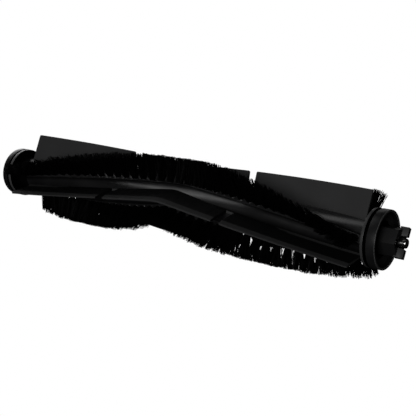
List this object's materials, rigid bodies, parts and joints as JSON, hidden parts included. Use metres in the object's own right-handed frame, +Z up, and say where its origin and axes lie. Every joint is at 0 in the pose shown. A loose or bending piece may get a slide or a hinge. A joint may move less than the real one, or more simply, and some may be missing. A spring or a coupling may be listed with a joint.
{
  "type": "floor scrubber brush roller",
  "caption": "Brush roller of a wet and dry floor scrubber, with V-shaped rubber blades and bristle rows on a core, a clawed hex drive end and a bearing cap at the idle end.",
  "frame": {"origin": "on the roller's axis, half-way along its overall length, in the plane of the kink of the V", "axes": "+X along the roller's axis towards the drive end, +Z up, -Y towards the side seen"},
  "size_m": [0.2146, 0.0381, 0.038],
  "materials": {
    "core_plastic": "satin moulded black plastic",
    "blade_rubber": "matte black rubber",
    "strip_plastic": "matte black plastic",
    "bristle_nylon": "black nylon filament",
    "end_cap_plastic": "satin moulded black plastic",
    "dog_plastic": "matte moulded black plastic",
    "shaft_steel": "bright ground steel",
    "bearing_cap_plastic": "matte moulded black plastic",
    "race_steel": "ground steel",
    "ball_steel": "polished steel",
    "cage_steel": "pressed steel",
    "shield_steel": "pressed steel",
    "felt": "pressed grey felt",
    "washer_nylon": "plain white nylon"
  },
  "bodies": {
    "bearing_housing": {"bearing_cap": "bearing_cap_plastic", "bearing_outer_race": "race_steel", "bearing_shield_1": "shield_steel", "bearing_shield_2": "shield_steel", "felt_seal": "felt"},
    "roller": {"core": "core_plastic", "shaft": "shaft_steel", "blade_1": "blade_rubber", "blade_2": "blade_rubber", "blade_3": "blade_rubber", "bristle_strip_1": "strip_plastic", "bristle_strip_2": "strip_plastic", "bristle_strip_3": "strip_plastic", "bristles_1": "bristle_nylon", "bristles_2": "bristle_nylon", "bristles_3": "bristle_nylon", "drive_end_cap": "end_cap_plastic", "drive_dog": "dog_plastic", "idle_end_cap": "end_cap_plastic", "bearing_inner_race": "race_steel", "thrust_washer": "washer_nylon"},
    "ball_set": {"bearing_ball_1": "ball_steel", "bearing_ball_2": "ball_steel", "bearing_ball_3": "ball_steel", "bearing_ball_4": "ball_steel", "bearing_ball_5": "ball_steel", "bearing_ball_6": "ball_steel", "bearing_ball_7": "ball_steel", "bearing_cage": "cage_steel"}
  },
  "joints": [
    {"name": "spin", "type": "hinge", "parent": "bearing_housing", "child": "roller", "pos_m": [-0.1026, 0, 0], "axis": [1, 0, 0], "continuous": true},
    {"name": "cage_spin", "type": "hinge", "parent": "bearing_housing", "child": "ball_set", "pos_m": [-0.1026, 0, 0], "axis": [1, 0, 0], "continuous": true}
  ],
  "couplings": [
    {"joint": "cage_spin", "follows": "spin", "ratio": 0.4043}
  ]
}
